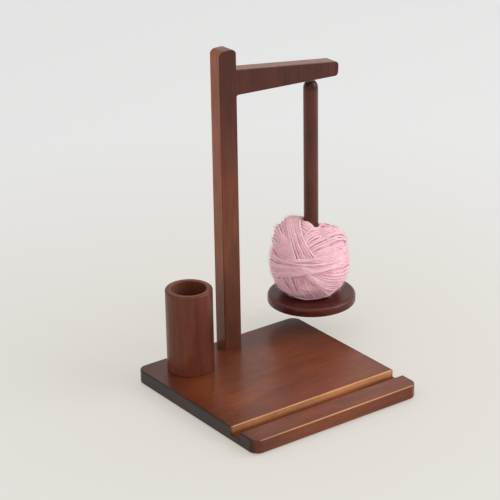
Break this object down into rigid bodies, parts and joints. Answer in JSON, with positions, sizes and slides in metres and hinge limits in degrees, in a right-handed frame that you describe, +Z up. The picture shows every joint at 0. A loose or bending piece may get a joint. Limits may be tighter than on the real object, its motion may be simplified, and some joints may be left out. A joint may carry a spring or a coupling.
{
  "type": "yarn holder",
  "caption": "Wooden yarn holder: a spindle with a disc hangs by a magnet from an arm on a post and turns as yarn is drawn, with a phone slot and a tool cup in the base.",
  "frame": {"origin": "middle of the part's box, on the table under the pads", "axes": "+Z up, -Y to the front where the phone slot is, +X to the right where the arm reaches"},
  "size_m": [0.2566, 0.2316, 0.333],
  "materials": {
    "walnut": "dark stained, semi-gloss lacquer",
    "birch": "plain turned dowel",
    "pad_rubber": "matte",
    "screw_steel": "zinc plated",
    "magnet_nickel": "nickel plated",
    "ball_steel": "polished",
    "seat_brass": "turned",
    "cap_metal": "dark nickel, satin",
    "pink_yarn": "soft plied wool, slightly fuzzy"
  },
  "bodies": {
    "stand": {"base_board": "walnut", "pad_front_left": "pad_rubber", "pad_front_right": "pad_rubber", "pad_back_left": "pad_rubber", "pad_back_right": "pad_rubber", "post": "walnut", "post_screw_left": "screw_steel", "post_screw_right": "screw_steel", "arm": "walnut", "arm_dowel_upper": "birch", "arm_dowel_lower": "birch", "arm_magnet": "magnet_nickel", "tool_cup": "walnut", "cup_screw_left": "screw_steel", "cup_screw_right": "screw_steel"},
    "ball": {"pivot_ball": "ball_steel"},
    "seat": {"ball_seat": "seat_brass"},
    "cap": {"rod_cap": "cap_metal"},
    "spindle": {"spindle_rod": "walnut", "spindle_disc": "walnut", "disc_screw": "screw_steel"},
    "yarn": {"yarn_ball": "pink_yarn"}
  },
  "joints": [
    {"name": "spindle_pull_off", "type": "slide", "parent": "stand", "child": "ball", "axis": [0, 0, -1], "range_m": [0, 0.015]},
    {"name": "swing_side", "type": "hinge", "parent": "ball", "child": "seat", "pos_m": [0.08207, 0.06957, 0.27568], "axis": [0, 1, 0], "range_deg": [-6, 6]},
    {"name": "swing_front", "type": "hinge", "parent": "seat", "child": "cap", "pos_m": [0.08207, 0.06957, 0.27568], "axis": [1, 0, 0], "range_deg": [-6, 6]},
    {"name": "spindle_spin", "type": "hinge", "parent": "cap", "child": "spindle", "pos_m": [0.08207, 0.06957, 0.27568], "axis": [0, 0, 1], "continuous": true},
    {"name": "yarn_lift", "type": "slide", "parent": "spindle", "child": "yarn", "axis": [0, 0, 1], "range_m": [0, 0.11]}
  ]
}
